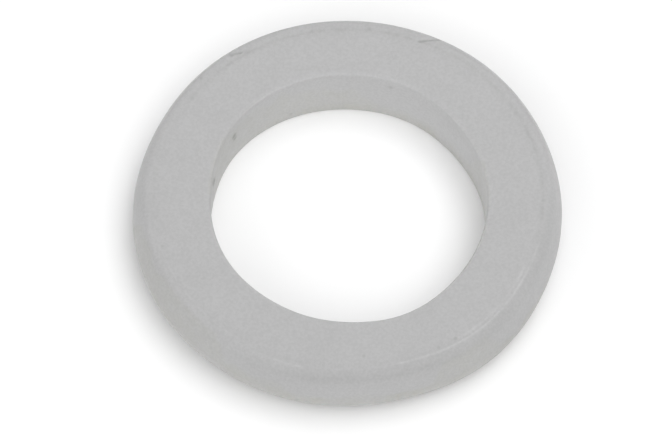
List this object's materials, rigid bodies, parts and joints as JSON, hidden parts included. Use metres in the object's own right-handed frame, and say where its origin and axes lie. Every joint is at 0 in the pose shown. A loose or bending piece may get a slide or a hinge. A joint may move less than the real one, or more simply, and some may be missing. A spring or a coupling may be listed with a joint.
{
  "type": "flat washer",
  "caption": "Thick flat sealing washer in soft translucent plastic, with a crowned rim, small edge rounds and a plain round bore.",
  "frame": {"origin": "centre of the bore on the seat, the face that the washer rests on", "axes": "+Z along the bore axis from the seat to the top face; +X and +Y lie in the seat"},
  "size_m": [0.0216, 0.0216, 0.0032],
  "materials": {
    "milky_plastic": "natural translucent moulded plastic, satin with a very fine grain"
  },
  "bodies": {
    "root": {"washer_ring": "milky_plastic"}
  },
  "joints": []
}
